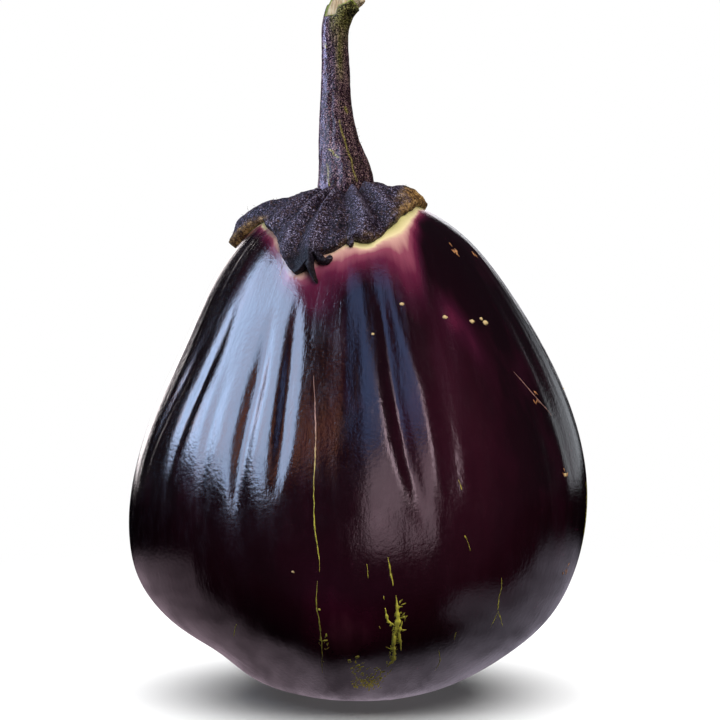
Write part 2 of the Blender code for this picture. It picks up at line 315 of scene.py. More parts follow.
def skin_material():
    nodes = Nodes("eggplant_skin")
    place = nodes.place()
    streaks = down_the_skin(nodes, place, 0.12)
    broad = nodes.noise(streaks, 160, 4)
    fine = nodes.noise(streaks, 1200)
    tone = nodes.attribute("tone")
    blotches = nodes.noise(down_the_skin(nodes, place, 0.45), 75)
    wander = nodes.calc("ADD", nodes.centred(broad, 0.16), nodes.centred(blotches, 0.42))
    wander = nodes.times(wander, nodes.between(tone, 0.16, 0.5))
    tone = nodes.calc("ADD", tone, wander)
    colour = nodes.ramp(
        tone,
        (0, 0.52, 0.48, 0.2), (0.17, 0.7, 0.62, 0.34), (0.26, 0.52, 0.3, 0.25), (0.36, 0.21, 0.048, 0.08),
        (0.52, 0.085, 0.009, 0.03), (0.74, 0.027, 0.0035, 0.012), (0.95, 0.0095, 0.0017, 0.0042),
        (1, 0.0046, 0.0013, 0.0026),
    )
    warm = nodes.times(nodes.attribute("warm"), nodes.between(broad, 0.25, 0.75, 0.6, 1))
    colour = nodes.mix(warm, colour, (0.026, 0.004, 0.0096))
    specks = nodes.between(nodes.cells(place, 900), 0.02, 0.09, 1, 0)
    rare = nodes.between(nodes.noise(place, 260, 2), 0.62, 0.72)
    colour = nodes.mix(nodes.times(specks, rare), colour, (0.16, 0.1, 0.05))
    bloom = nodes.noise(down_the_skin(nodes, place, 0.35), 210, 5, 0.7)
    relief = nodes.bump(bloom, 0.00015, 0.5)
    relief = nodes.bump(fine, 0.00005, 0.6, relief)
    relief = nodes.bump(nodes.noise(place, 900, 3, 0.65), 0.00013, 0.55, relief)
    nodes.surface(
        Base_Color=colour, Roughness=nodes.between(bloom, 0.35, 0.7, 0.13, 0.27), Normal=relief,
        Coat_Weight=0.6, Coat_Roughness=0.07, Coat_IOR=1.45, Coat_Normal=relief,
    )
    return nodes.material


def calyx_material():
    nodes = Nodes("calyx_leather")
    place = nodes.place()
    grain = nodes.noise(place, 2300, 1.5, 0.7)
    patches = nodes.noise(place, 300, 4, 0.6)
    value = nodes.calc("ADD", nodes.times(grain, 0.84), nodes.times(patches, 0.16))
    # Painted shade and painted highlight: darker in the valleys of the folds, lighter on their crests
    value = nodes.calc("ADD", value, nodes.times(nodes.attribute("fold_shade_and_highlight"), 0.028))
    colour = nodes.ramp(
        value,
        (0.43, 0.001, 0.0006, 0.0012), (0.485, 0.0065, 0.0035, 0.007), (0.535, 0.028, 0.0165, 0.029),
        (0.59, 0.088, 0.08, 0.132), (0.66, 0.26, 0.245, 0.33),
    )
    rust = nodes.times(nodes.between(nodes.noise(place, 1300, 2), 0.54, 0.62), 0.4)
    colour = nodes.mix(rust, colour, (0.075, 0.036, 0.018))
    pits = nodes.between(nodes.noise(place, 2700, 1, 0.5, 0.4), 0.4, 0.48, 0.85, 0)
    colour = nodes.mix(pits, colour, (0.0012, 0.0008, 0.0013))
    dry = nodes.times(nodes.attribute("dry"), nodes.between(grain, 0.36, 0.54, 0.25, 1))
    husk = nodes.noise(place, 620, 4, 0.7)
    straw = nodes.ramp(
        husk,
        (0.38, 0.02, 0.009, 0.004), (0.48, 0.15, 0.08, 0.022), (0.62, 0.44, 0.28, 0.095),
    )
    colour = nodes.mix(dry, colour, straw)
    claw = nodes.times(nodes.attribute("claw"), 0.93)
    colour = nodes.mix(claw, colour, (0.0022, 0.0016, 0.0021))
    relief = nodes.bump(patches, 0.001, 0.7)
    relief = nodes.bump(grain, 0.0003, 1, relief)
    nodes.surface(
        Base_Color=colour, Roughness=nodes.between(grain, 0.35, 0.65, 0.78, 0.5), Normal=relief,
        Specular_IOR_Level=0.28,
    )
    return nodes.material


def bark_material():
    nodes = Nodes("stalk_bark")
    place = nodes.place()
    grain = nodes.noise(place, 2500, 1.5, 0.7)
    stripes = nodes.noise(nodes.vector("MULTIPLY", place, (1, 1, 0.22)), 620, 3, 0.6)
    value = nodes.calc("ADD", nodes.times(grain, 0.72), nodes.times(stripes, 0.28))
    colour = nodes.ramp(
        value,
        (0.45, 0.0018, 0.0006, 0.0016), (0.49, 0.0075, 0.0024, 0.0062), (0.525, 0.03, 0.0125, 0.024),
        (0.565, 0.09, 0.05, 0.062), (0.63, 0.24, 0.16, 0.145),
    )
    olive = nodes.ramp(
        grain,
        (0.4, 0.014, 0.015, 0.004), (0.5, 0.09, 0.094, 0.02), (0.62, 0.27, 0.27, 0.07),
    )
    colour = nodes.mix(nodes.attribute("olive"), colour, olive)
    scurf = nodes.between(nodes.noise(place, 3200, 1), 0.56, 0.64, 0, 0.35)
    colour = nodes.mix(scurf, colour, (0.3, 0.21, 0.15))
    pits = nodes.between(nodes.noise(place, 2900, 1, 0.5, 0.4), 0.4, 0.47, 0.85, 0)
    colour = nodes.mix(pits, colour, (0.004, 0.0012, 0.0025))
    vein = nodes.ramp(grain, (0.4, 0.04, 0.036, 0.008), (0.6, 0.26, 0.23, 0.055))
    colour = nodes.mix(nodes.attribute("vein"), colour, vein)
    ridges = nodes.bump(stripes, 0.00012, 0.5)
    relief = nodes.bump(grain, 0.00022, 0.9, ridges)
    nodes.surface(
        Base_Color=colour, Roughness=0.55, Normal=relief, Specular_IOR_Level=0.04,
        Coat_Weight=0.35, Coat_Roughness=0.1, Coat_IOR=1.45,
        Coat_Normal=nodes.bump(grain, 0.00006, 0.8, nodes.bump(stripes, 0.00005, 0.5)),
    )
    return nodes.material


def wood_material():
    nodes = Nodes("torn_wood")
    place = nodes.place()
    long = nodes.vector("MULTIPLY", place, (1, 1, 0.18))
    fibres = nodes.noise(long, 1500, 4, 0.65)
    colour = nodes.ramp(
        fibres,
        (0.3, 0.3, 0.17, 0.07), (0.45, 0.58, 0.44, 0.25), (0.6, 0.76, 0.66, 0.46),
    )
    rim = nodes.ramp(fibres, (0.35, 0.1, 0.15, 0.015), (0.6, 0.28, 0.34, 0.05))
    colour = nodes.mix(nodes.attribute("green"), colour, rim)
    nodes.surface(Base_Color=colour, Roughness=0.8, Normal=nodes.bump(fibres, 0.0003, 0.8))
    return nodes.material


CORK_PINK = (0.36, 0.22, 0.18)
SCAB_BROWN = (0.34, 0.16, 0.055)
DOT_BEIGE = (0.5, 0.38, 0.17)
# A brighter yellow than the cork: partly the low scars' own colour, partly painted light for the shade under
# the fruit
LOW_YELLOW = (0.86, 0.82, 0.09)


def cork_material(aged_and_lit):
    """Yellow-green cork, turning where the mesh asks to a second colour. On low scars that is a brighter
    yellow, partly painted light.
    """
    nodes = Nodes("scar_cork")
    place = nodes.place()
    grain = nodes.noise(place, 1800, 3, 0.6)
    colour = nodes.ramp(
        grain,
        (0.32, 0.14, 0.13, 0.006), (0.5, 0.45, 0.43, 0.03), (0.68, 0.66, 0.62, 0.11),
    )
    # Mixes in the second colour; on low scars this is partly painted light against the shade under the fruit
    colour = nodes.mix(nodes.attribute("aged_and_lit"), colour, aged_and_lit)
    nodes.surface(Base_Color=colour, Roughness=0.75, Normal=nodes.bump(grain, 0.0002, 0.8))
    return nodes.material


# Fruit

# The calyx's hem, as (azimuth round the stalk's foot, reach from it in mm)
HEM = (
    (-166, 23.1), (-150, 24.3), (-135, 26.5), (-124, 30), (-114, 34.6), (-109, 35), (-104, 31.8), (-96, 30.8),
    (-88, 28.8), (-76, 29), (-62, 25.9), (-43, 22), (-20, 20), (2, 20.3), (14, 22.5), (28, 24.5), (44, 22.5),
    (56, 22.8), (68, 27.8), (78, 31.6), (90, 26.8), (104, 23.2), (116, 27.2), (126, 31.8), (138, 26.2),
    (148, 25.2), (160, 29), (172, 30.9), (184, 26.6),
)


def flute(azimuths, heights, radii, line):
    """How far one rib or groove moves each point of the skin, in metres."""
    rows = sorted(line, key=lambda row: row[1])
    places, levels, widths, amounts = (np.array(column) for column in zip(*rows))
    levels = levels * MM
    amount = np.interp(heights, levels, amounts, left=0.0, right=0.0) * MM
    width = np.interp(heights, levels, widths) * MM
    aside = np.radians(turn_between(np.interp(heights, levels, places), azimuths)) * radii
    return amount * np.exp(-((aside / width) ** 2))


# Width of the pale ring below the hem, and of the flush below that, as (azimuth, mm)
PALE_REACH = (
    (-180, 0.6), (-150, 0.3), (-125, 0.4), (-114, 0.3), (-104, 0.3), (-97, 0.5), (-90, 1.5), (-82, 1.2),
    (-74, 2.2), (-66, 3), (-54, 2.6), (-44, 1.8), (-28, 1), (0, 1.6), (40, 2.4), (90, 2), (130, 3.2),
    (160, 1.6), (180, 0.6),
)
FLUSH_REACH = (
    (-180, 5), (-150, 4), (-125, 5), (-114, 9), (-104, 15), (-97, 14), (-88, 11), (-78, 15), (-71, 27),
    (-65, 22), (-58, 7), (-48, 3), (-28, 4), (0, 12), (40, 20), (90, 12), (130, 26), (160, 10), (180, 5),
)
# Redder places further down, as (azimuth, height in mm, half-width in degrees, half-height in mm, amount)
FLUSH_SPOTS = (
    (-57, 108, 4, 6, 0.42), (-52, 101, 3, 6, 0.26), (-64, 94, 4, 14, 0.16), (-107, 112, 7, 7, 0.22),
    (-94, 26, 15, 16, 0.56),
)
WARM = (
    (-63, 76, 15, 30, 0.8), (-98, 40, 30, 30, 0.35), (-62, 34, 26, 26, 0.7), (-128, 30, 24, 24, 0.4),
    (20, 70, 30, 30, 0.5), (120, 80, 26, 34, 0.6),
)
# The tone along the hem where hardly any ring shows, as (azimuth, tone)
THIN_RING = ((-160, 0), (-150, 0.245), (-99, 0.235), (-92, 0))
PALE_TONE = 0.25  # the tone where the pale ring ends
CALYX_DROP = 0.045  # how far below the crown the calyx may still cover the skin
FINE_ACROSS = 17  # noise cells in the fruit's radius, so that a fine ridge is about 4 mm wide
FINE_ALONG = 35  # noise cells in a metre of its height
FINE_DEPTH = 0.09 * MM


def hem_tree(skin):
    """The calyx's hem on the skin, as points that can be searched."""
    azimuths, reaches = zip(*HEM)
    turns = np.arange(-180.0, 180.0, 0.5)
    tree = KDTree(len(turns))
    for number, turn in enumerate(turns):
        reach = np.interp(turn, azimuths, reaches, period=360) * MM
        angle = math.radians(turn)
        above = Vector((CROWN.x + reach * math.cos(angle), CROWN.y + reach * math.sin(angle), 1.0))
        tree.insert(skin.ray_cast(above, Vector((0, 0, -1)))[0], number)
    tree.balance()
    return tree


def skin_tone(points, azimuths, skin):
    """0 under the calyx, PALE_TONE where the pale ring ends, and 1 where the skin is fully dark."""
    hem = hem_tree(skin)
    away = np.array([hem.find(Vector(p))[2] for p in points]) / MM
    around, reach = around_foot(points)
    under = points[:, 2] > CROWN.z - CALYX_DROP
    covered = (reach / MM < np.interp(around, *zip(*HEM), period=360)) & under
    away[covered] = 0.0
    pale = np.interp(azimuths, *zip(*PALE_REACH))
    flush = np.interp(azimuths, *zip(*FLUSH_REACH))
    inside = np.minimum(away / pale, 1.0)
    outside = np.clip((away - pale) / flush, 0.0, 1.0)
    thin = np.interp(azimuths, *zip(*THIN_RING))
    return np.maximum(inside * PALE_TONE, thin) + outside * (1 - PALE_TONE)


def spots(azimuths, heights, rows):
    """How much soft round spots add at each point, for rows as in FLUSH_SPOTS."""
    total = np.zeros(len(azimuths))
    for place, level, wide, tall, amount in rows:
        across = turn_between(place, azimuths) / wide
        along = (heights / MM - level) / tall
        total += amount * np.exp(-(across**2) - along**2)
    return total


def make_fruit():
    fruit = fine_copy("fruit", "skin", 2)
    mesh = fruit.data
    points, normals = read(mesh.vertices, "co"), read(mesh.vertex_normals, "vector")
    azimuths = np.degrees(np.arctan2(points[:, 1], points[:, 0]))
    heights, radii = points[:, 2], np.hypot(points[:, 0], points[:, 1])
    out = sum(flute(azimuths, heights, radii, line) for line in FLUTES)
    around = points / np.maximum(radii, 1e-6)[:, None] * FINE_ACROSS
    around[:, 2] = heights * FINE_ALONG
    fullness = rise(heights, 0.02, 0.06) * rise(radii, 0.012, 0.035)
    out = out + noise_at(around, 2) * fullness * FINE_DEPTH
    write_points(mesh, points + normals * out[:, None])
    tone = skin_tone(points, azimuths, tree_of(fruit))
    tone -= spots(azimuths, heights, FLUSH_SPOTS) * rise(tone, 0.5, 0.9)
    write_attribute(mesh, "tone", tone)
    write_attribute(mesh, "warm", np.minimum(spots(azimuths, heights, WARM), 1.0))
    dress(fruit, "eggplant_skin", skin_material(), "fruit")
    return fruit


# Calyx

# Folds of the calyx, as (azimuth round the stalk's foot, how far the skin stands out there in mm)
FOLDS = (
    (-152, -0.4), (-141, 0.8), (-131.5, -1.1), (-122, 1.2), (-114, -1.3), (-106.5, 1.3), (-99, -0.8),
    (-91, -1.2), (-80, 1.4), (-69, -1.3), (-57, 1.4), (-46, -1.2), (-34, 0.6), (-18, -0.3), (0, 0.3),
    (22, -0.7), (40, 0.8), (57, -0.8), (74, 0.8), (95, -0.9), (112, 0.7), (125, -0.4), (141, 0.6), (155, -0.5),
    (170, 0.3), (188, -0.3),
)
FOLD_FROM, FOLD_FULL = 0.08, 0.38  # share of the way to the rim
FOLD_WANDER = (90, 4)  # noise cells a metre, and how far the folds then wander in degrees
# Noise of the leather and of its rim, as (cells a metre, octaves, mm)
LEATHER = ((1000, 3, 0.16), (300, 2, 0.25))
RAGGED = (550, 2, 0.55)
# Dry straw-coloured parts of the rim, as (azimuth, half-width, share of the way out where it starts, amount)
DRY = (
    (8, 44, 0.74, 1), (-36, 22, 0.9, 0.8), (172, 26, 0.93, 1), (-97, 7, 0.955, 0.6), (-62, 24, 0.975, 0.3),
    (110, 30, 0.88, 0.8), (70, 20, 0.93, 0.6),
)
# Where the calyx lies flatter than in the CAD, as (azimuth, half-width, share of the height that it loses)
FLATTER = ((150, 30, 0.25), (10, 38, 0.3))
# Where the rim stands off the skin as a thick edge, as (azimuth, half-width, mm)
THICK_RIM = ((172, 24, 2.6), (6, 30, 1.5), (112, 22, 1.6))
CLAWS = (-107, 11)  # azimuth and half-width of the part of the rim that has dried nearly black
INNER_GAP = 0.15 * MM  # of the calyx's inner side from the skin


def rim_reach(reach, azimuths):
    """The calyx's greatest reach from the stalk's foot, as a function of the azimuth."""
    sectors = np.arange(-180, 180, 3)
    most = [np.percentile(reach[np.abs(turn_between(sector, azimuths)) < 3], 99) for sector in sectors]
    return lambda where: np.interp(where, sectors, most, period=360)


def eased(where, rows):
    """Goes smoothly through rows of (azimuth, value), round a full turn."""
    places = np.array([row[0] for row in rows], float)
    values = np.array([row[1] for row in rows], float)
    where = (where - places[0]) % 360 + places[0]
    after = np.append(places[1:], places[0] + 360)
    i = np.searchsorted(places, where, side="right") - 1
    share = rise((where - places[i]) / (after[i] - places[i]), 0.0, 1.0)
    return values[i] + (np.append(values[1:], values[0])[i] - values[i]) * share


def bump_round(azimuths, place, half_width):
    """1 at the azimuth, with a broad top, and 0 well beyond the half-width."""
    return np.exp(-((turn_between(place, azimuths) / half_width) ** 4))


def bumps_round(azimuths, rows):
    """The sum of such bumps, for rows of (azimuth, half-width, amount)."""
    return sum(amount * bump_round(azimuths, place, wide) for place, wide, amount in rows)


def make_calyx(skin):
    calyx = fine_copy("calyx", "calyx_skin", 2)
    mesh = calyx.data
    points, normals = read(mesh.vertices, "co"), read(mesh.vertex_normals, "vector")
    azimuths, reach = around_foot(points)
    share = reach / rim_reach(reach, azimuths)(azimuths)
    found = [skin.find_nearest(Vector(point)) for point in points]
    foot = np.array([hit[0] for hit in found])
    up = np.array([hit[1] for hit in found])
    off = np.einsum("ij,ij->i", points - foot, up)
    outer = rise(np.einsum("ij,ij->i", normals, up), -0.35, 0.35)
    off = off * (1 - bumps_round(azimuths, FLATTER) * rise(share, 0.15, 0.6))
    lift = bumps_round(azimuths, THICK_RIM) * MM
    off = off + lift * rise(share, 0.5, 0.8) * (1 - 0.85 * rise(share, 0.86, 1.0))
    wander = noise_at(points * FOLD_WANDER[0], 1) * FOLD_WANDER[1]
    folds = eased(azimuths + wander, FOLDS) * MM * rise(share, FOLD_FROM, FOLD_FULL)
    off_outer = np.maximum(off + (folds + roughness_at(points, *LEATHER)) * outer, INNER_GAP * 2)
    off = INNER_GAP + (off_outer - INNER_GAP) * outer
    turns = np.radians(azimuths)
    away = np.stack([np.cos(turns), np.sin(turns), np.zeros(len(points))], axis=1)
    ragged = roughness_at(points, RAGGED) * rise(share, 0.9, 1.0)
    write_points(mesh, foot + up * off[:, None] + away * ragged[:, None])
    dry = np.zeros(len(points))
    for place, wide, inner, amount in DRY:
        here = amount * bump_round(azimuths, place, wide) * rise(share, inner, inner + 0.5 * (1.02 - inner))
        dry = np.maximum(dry, here)
    write_attribute(mesh, "dry", dry)
    # The folds' depth, which the material turns into painted shade in the valleys and painted highlight on the
    # crests
    write_attribute(mesh, "fold_shade_and_highlight", folds / MM)
    write_attribute(mesh, "claw", bump_round(azimuths, *CLAWS) * rise(share, 0.86, 0.95))
    dress(calyx, "calyx_leather", calyx_material(), "calyx")
    return calyx


# Bristles, each as x, y and z of its foot and its length in mm. The foot is then moved onto the surface.
CALYX_BRISTLES = ((-30.8, 4, 133.6, 1.9), (-28.4, 4, 134, 1.3), (-32, 4, 132, 0.9), (-34.6, 3, 127.5, 0.8))
STALK_BRISTLES = ((-0.9, -2, 156.2, 1.2), (-0.4, -2, 155, 1.1), (0.2, -2, 154, 0.9), (0.8, -2, 152.6, 0.8))
LOOSE_BRISTLES = 90  # small ones scattered over the calyx and the stalk's foot
LOOSE_SPREAD = 0.03  # half of the square round the stalk's foot that they are scattered over
LOOSE_LENGTH = (0.35, 0.8)  # in mm
BRISTLE_RADIUS = 0.055 * MM


def add_bristle(bm, surface, guess, length):
    """Adds one thin curved hair that stands on the nearest point of the surface."""
    foot, normal = surface.find_nearest(guess)[:2]
    lean = Vector([random.uniform(-0.4, 0.4) for _ in range(3)])
    way = (normal + lean).normalized()
    side = way.orthogonal().normalized()
    other = way.cross(side)
    rings = []
    for share, radius in ((-0.1, 1.0), (0.5, 0.75)):
        centre = foot + way * length * share + side * length * 0.12 * max(share, 0.0)
        out = [way_out * BRISTLE_RADIUS * radius for way_out in (side, other, -side, -other)]
        rings.append([bm.verts.new(centre + step) for step in out])
    tip = bm.verts.new(foot + way * length + side * length * 0.3)
    low, high = rings
    for i in range(4):
        after = (i + 1) % 4
        bm.faces.new((low[i], low[after], high[after], high[i]))
        bm.faces.new((high[i], high[after], tip))
    bm.faces.new(low[::-1])


def make_bristles(calyx, stalk):
    bm = bmesh.new()
    for surface, rows in ((calyx, CALYX_BRISTLES), (stalk, STALK_BRISTLES)):
        for x, y, z, length in rows:
            add_bristle(bm, surface, Vector((x, y, z)) * MM, length * MM)
    for _ in range(LOOSE_BRISTLES):
        above = CROWN + Vector((random.uniform(-1, 1), random.uniform(-1, 1), 0.0)) * LOOSE_SPREAD
        hit = calyx.ray_cast(above + Vector((0, 0, 0.004)), Vector((0, 0, -1)))[0]
        if hit:
            add_bristle(bm, calyx, hit, random.uniform(*LOOSE_LENGTH) * MM)
    bristles = object_from(bm, "bristles")
    write_attribute(bristles.data, "dry", np.full(len(bristles.data.vertices), 0.3))
    dress(bristles, "calyx_leather", calyx_material())


# Stalk

# Height in mm above which the bark is torn off the front, along X in mm
TEAR = (
    (-9.8, 186.4), (-7.4, 186.7), (-6.7, 187.2), (-6.1, 189.4), (-4.7, 190), (-2.4, 190.9), (-1.2, 189.8),
    (-0.4, 188.8), (0.3, 187.6), (4, 185),
)
TEAR_BEHIND = ((-9, 190), (-2, 190), (0.5, 187), (4, 184.5))  # the same on its back
BARK_DEPTH = 0.4 * MM
# Lines on the front of the bark, each as points of (X, Z) in mm with a half-width in mm
VEINS = (
    (((-5.6, 158.5), (-5, 155.5), (-4.2, 153.4), (-3.5, 150.6), (-2.4, 148.2), (-2, 145.5),
      (-0.8, 142.3)), 0.19),
    (((-8.9, 146.6), (-8.6, 144.5), (-8.7, 143), (-8.3, 141)), 0.22),
    (((-8.3, 150.6), (-7.4, 150.2), (-7.2, 149.4), (-5.9, 148.6)), 0.26),
    (((-4, 162), (-3.5, 160.6)), 0.3),
    (((-9.6, 179.2), (-9.3, 178.3)), 0.3),
)
OLIVE = (((-5, 190), (-5.4, 183), (-5.6, 176), (-5.3, 170)), 1)
OLIVE_FROM = (176, 189)  # heights in mm between which all the bark turns olive
OLIVE_LEFT = (-9.5, -6.5)  # and X in mm, left of which it doesn't
OLIVE_ENDS = (164, 176)  # heights in mm between which the olive line fades out
# Noise of the bark and of the torn wood, as (cells a metre on each axis, octaves, mm)
BARK_NOISE = (((900, 900, 500), 3, 0.07), ((420, 420, 60), 2, 0.16))
FIBRES = ((1500, 1500, 220), 2, 0.16)
SPLINTERS = ((1300, 1300, 300), 2, 0.5)
TEAR_WANDER = (700, 0.35)  # noise cells a metre along the torn edge, and mm
CAP_SHARE, CAP_DEPTH = 0.72, 2 * MM  # size of the cap that closes a piece, and how far it is sunk


def near_line(points, line, half_width):
    """1 on a line on the front, given as points of (X, Z) in mm, and 0 well beyond the half-width."""
    best = np.full(len(points), 1e9)
    flat = points[:, [0, 2]] / MM
    for start, end in zip(line, line[1:]):
        start, way = np.array(start), np.array(end) - np.array(start)
        share = np.clip((flat - start) @ way / (way @ way), 0.0, 1.0)
        best = np.minimum(best, np.linalg.norm(flat - start - share[:, None] * way, axis=1))
    return np.exp(-((best / half_width) ** 2))


def keep_faces(obj, name, wanted):
    """A copy with only the faces whose points are mostly wanted, closed inside by a sunken cap."""
    bm = bmesh.new()
    bm.from_mesh(obj.data)
    bm.verts.ensure_lookup_table()
    lost = [face for face in bm.faces if np.mean([wanted[vert.index] for vert in face.verts]) <= 0.5]
    bmesh.ops.delete(bm, geom=lost, context="FACES")
    border = [edge for edge in bm.edges if edge.is_boundary]
    made = bmesh.ops.extrude_edge_only(bm, edges=border)["geom"]
    rim = [item for item in made if isinstance(item, bmesh.types.BMVert)]
    middle = sum((vert.co for vert in rim), Vector()) / len(rim)
    for vert in rim:
        vert.co = middle + (vert.co - middle) * CAP_SHARE
        vert.co.z = middle.z - CAP_DEPTH
    bmesh.ops.holes_fill(bm, edges=[edge for edge in bm.edges if edge.is_boundary], sides=0)
    return object_from(bm, name)


def make_stalk():
    """The bark and the torn wood that stands out of it."""
    stalk = fine_copy("stalk", "bark_whole", 3)
    mesh = stalk.data
    points, normals = read(mesh.vertices, "co"), read(mesh.vertex_normals, "vector")
    front = rise(-normals[:, 1], -0.25, 0.15)
    across = points[:, 0] / MM
    tear = np.interp(across, *zip(*TEAR)) * front + np.interp(across, *zip(*TEAR_BEHIND)) * (1 - front)
    height = points[:, 2] / MM
    above = height - tear + noise_at(points * TEAR_WANDER[0], 2) * TEAR_WANDER[1]
    torn = rise(above, -0.05, 0.15)
    end = rise(normals[:, 0] * 0.65 + normals[:, 2] * 0.75, 0.55, 0.9)
    wood = roughness_at(points, FIBRES) + roughness_at(points, SPLINTERS) * end - BARK_DEPTH
    out = roughness_at(points, *BARK_NOISE) * (1 - torn) + wood * torn
    write_points(mesh, points + normals * out[:, None])
    olive_top = rise(height, *OLIVE_FROM) * 0.9 * rise(across, *OLIVE_LEFT)
    olive_line = near_line(points, *OLIVE) * 0.55 * front * rise(height, *OLIVE_ENDS)
    write_attribute(mesh, "olive", np.maximum(olive_top, olive_line))
    veins = [near_line(points, *line) for line in VEINS]
    write_attribute(mesh, "vein", np.max(veins, axis=0) * front)
    left = rise(-normals[:, 0], 0.66, 0.86)
    write_attribute(mesh, "green", np.maximum(left, 1 - rise(above, 0.1, 0.7) * 0.9) * (1 - end))
    is_bark = torn < 0.6
    bark_piece = keep_faces(stalk, "bark", is_bark)
    wood_piece = keep_faces(stalk, "wood", ~is_bark)
    bpy.data.objects.remove(stalk)
    dress(bark_piece, "stalk_bark", bark_material(), "stalk")
    dress(wood_piece, "torn_wood", wood_material())
    return bark_piece


# Scars on the skin, each line as rows of (azimuth, height in mm, width in mm)
HAIRLINE = (
    ((-103.7, 93.5, 0.15), (-102.5, 86.3, 0.22), (-101.4, 77.6, 0.3), (-101.4, 74.8, 0.55),
     (-101.3, 72.5, 0.3), (-101.3, 67.2, 0.28), (-100.9, 56.2, 0.28), (-100.3, 52.1, 0.34), (-99.7, 47.7, 0.3),
     (-99.7, 43.6, 0.15)),
    ((-100.3, 41.2, 0.15), (-100.9, 35.6, 0.34), (-100.9, 32.8, 0.3), (-100.6, 30.2, 0.34),
     (-100.8, 23.6, 0.36), (-101.6, 19, 0.3), (-103.7, 13.1, 0.15)),
)
BRANCH = (
    ((-83.4, 47.7, 0.15), (-82.7, 43.7, 0.4), (-81.9, 39.8, 0.45)),
    ((-81.1, 37.2, 0.4), (-80.4, 32.5, 0.9), (-80, 29.3, 1.6), (-80.5, 26.4, 0.8), (-80.6, 23.6, 1.3),
     (-79.9, 20.5, 0.7), (-79.3, 17.8, 1.4), (-81, 15.4, 0.6)),
    ((-83.7, 33.8, 0.3), (-82.7, 29.8, 0.9), (-80.9, 28.6, 0.8)),
    ((-78.9, 29.8, 0.3), (-79.4, 26.3, 0.9), (-78.6, 23.6, 0.7), (-77.8, 20.7, 0.35)),
    ((-82.6, 22.2, 0.2), (-81, 21.4, 0.5), (-80, 22.6, 0.4)),
    ((-88.4, 46, 0.14), (-88, 41.9, 0.16)),
    ((-85, 28.6, 0.35), (-84.6, 27.8, 0.3)),
)
TWIG = (
    ((-52.5, 39.9, 0.14), (-51.8, 37.1, 0.24), (-51.9, 34.9, 0.34), (-51.5, 32.5, 0.4), (-50.7, 30.2, 0.34)),
    ((-50.7, 30.4, 0.3), (-50.8, 28.1, 0.3), (-51.2, 25.6, 0.14)),
    ((-50.7, 30.4, 0.3), (-48.5, 27.8, 0.3), (-46.2, 25.3, 0.14)),
    ((-65.9, 20.4, 0.16), (-63, 16.5, 0.34), (-61.6, 13, 0.14)),
    ((-62.5, 25.4, 0.14), (-62.1, 23.1, 0.24)),
    ((-65.2, 66.9, 0.14), (-64.6, 64.3, 0.22)),
    ((-64.2, 52.5, 0.14), (-62.5, 48.2, 0.22)),
    ((-125.1, 27.2, 0.14), (-126.6, 25.6, 0.34), (-128.9, 23, 0.18)),
    ((-124.8, 123.8, 0.16), (-124.1, 121.1, 0.3), (-123.7, 118.3, 0.12)),
    ((-38.9, 92.8, 0.12), (-35.2, 88.6, 0.22), (-31.5, 84, 0.22), (-27.9, 80.3, 0.12)),
    ((60, 52, 0.14), (61, 42, 0.3), (60.5, 30, 0.26), (62, 20, 0.14)),
    ((118, 70, 0.12), (117, 60, 0.26), (118.5, 48, 0.3), (118, 40, 0.14)),
    ((-8, 60, 0.12), (-9, 50, 0.24), (-8, 41, 0.12)),
    ((160, 44, 0.14), (161, 35, 0.32), (159.5, 27, 0.14)),
)
# Corky dots, as (azimuth, height in mm, half-width in mm)
DOTS = (
    (-74.9, 111.6, 0.62), (-85.8, 104.2, 0.45), (-59.5, 107.9, 0.72), (-48.8, 106.4, 0.75),
    (-42.9, 105.7, 0.95), (-44.2, 106.8, 0.6), (-106.2, 43.4, 0.36), (-28.3, 64.6, 0.7), (35, 96, 0.5),
    (52, 78, 0.4), (96, 104, 0.55), (100, 101, 0.4), (140, 66, 0.45), (-176, 90, 0.45), (5, 84, 0.4),
)
# Brown scabs, each a cluster of short flakes, as (azimuth, height in mm, spread in mm, how many)
SCABS = (
    (-37.2, 124, 1.6, 7), (-22, 121.3, 1, 4), (-32.8, 85.2, 1.3, 6), (-22.5, 37.3, 1.8, 7),
    (-28.3, 64.6, 0.9, 3), (70, 110, 1.4, 5), (150, 98, 1.2, 5),
)
# Patches of fine scratches, as (azimuth, height in mm, half-width and half-height in mm, how many)
SCRATCHES = (
    (-87.5, 8.6, 4.4, 2, 80), (-84, 12.5, 3, 2.6, 26), (-91.5, 15, 1.6, 6, 30), (-80.8, 31, 1, 5, 30),
    (-80.4, 22, 1, 5.5, 30), (-100.5, 24, 1, 8, 10), (75, 14, 6, 4, 30),
)
# Long scars, as (piece, lines, heights in mm between which they take on a second colour, that colour)
LONG_SCARS = (
    ("scar_hairline", HAIRLINE, (60, 84), CORK_PINK),
    # Its lower part turns a brighter yellow: partly its own colour, partly painted light for the shade under
    # the fruit
    ("scar_branch", BRANCH, (48, 28), LOW_YELLOW),
    ("scar_twigs", TWIG, (60, 84), CORK_PINK),
)
LOW_SCRATCHES = (26, 13)  # heights in mm between which the scratches turn that brighter yellow, partly painted light
EVERYWHERE = (-2, -1)  # heights in mm that lie below every scar
SCAR_STEP = 0.45 * MM
SCAR_SIDES = 8
SCAR_LIFT = 0.2  # how far a scar stands out, as a share of its width
SCAR_THINNEST = 0.1 * MM
SCAR_WOBBLE = 0.16  # how far a long scar wanders sideways, in mm
SCAR_WANDERS = 420  # noise cells a metre along it, for its wandering
SCAR_SWELLS = 900  # and for its width
SKIN_DEGREES = 57.3 / EQUATOR * MM  # degrees that a mm takes round the fruit
LOW_DEGREES = 1.6  # and low down, where it is narrower
LOWEST_SCRATCH = 4.5  # in mm
SCRATCH_ENDS = 0.14  # width in mm
SCRATCH_THICK = (0.3, 0.45, 0.75)  # widths in mm


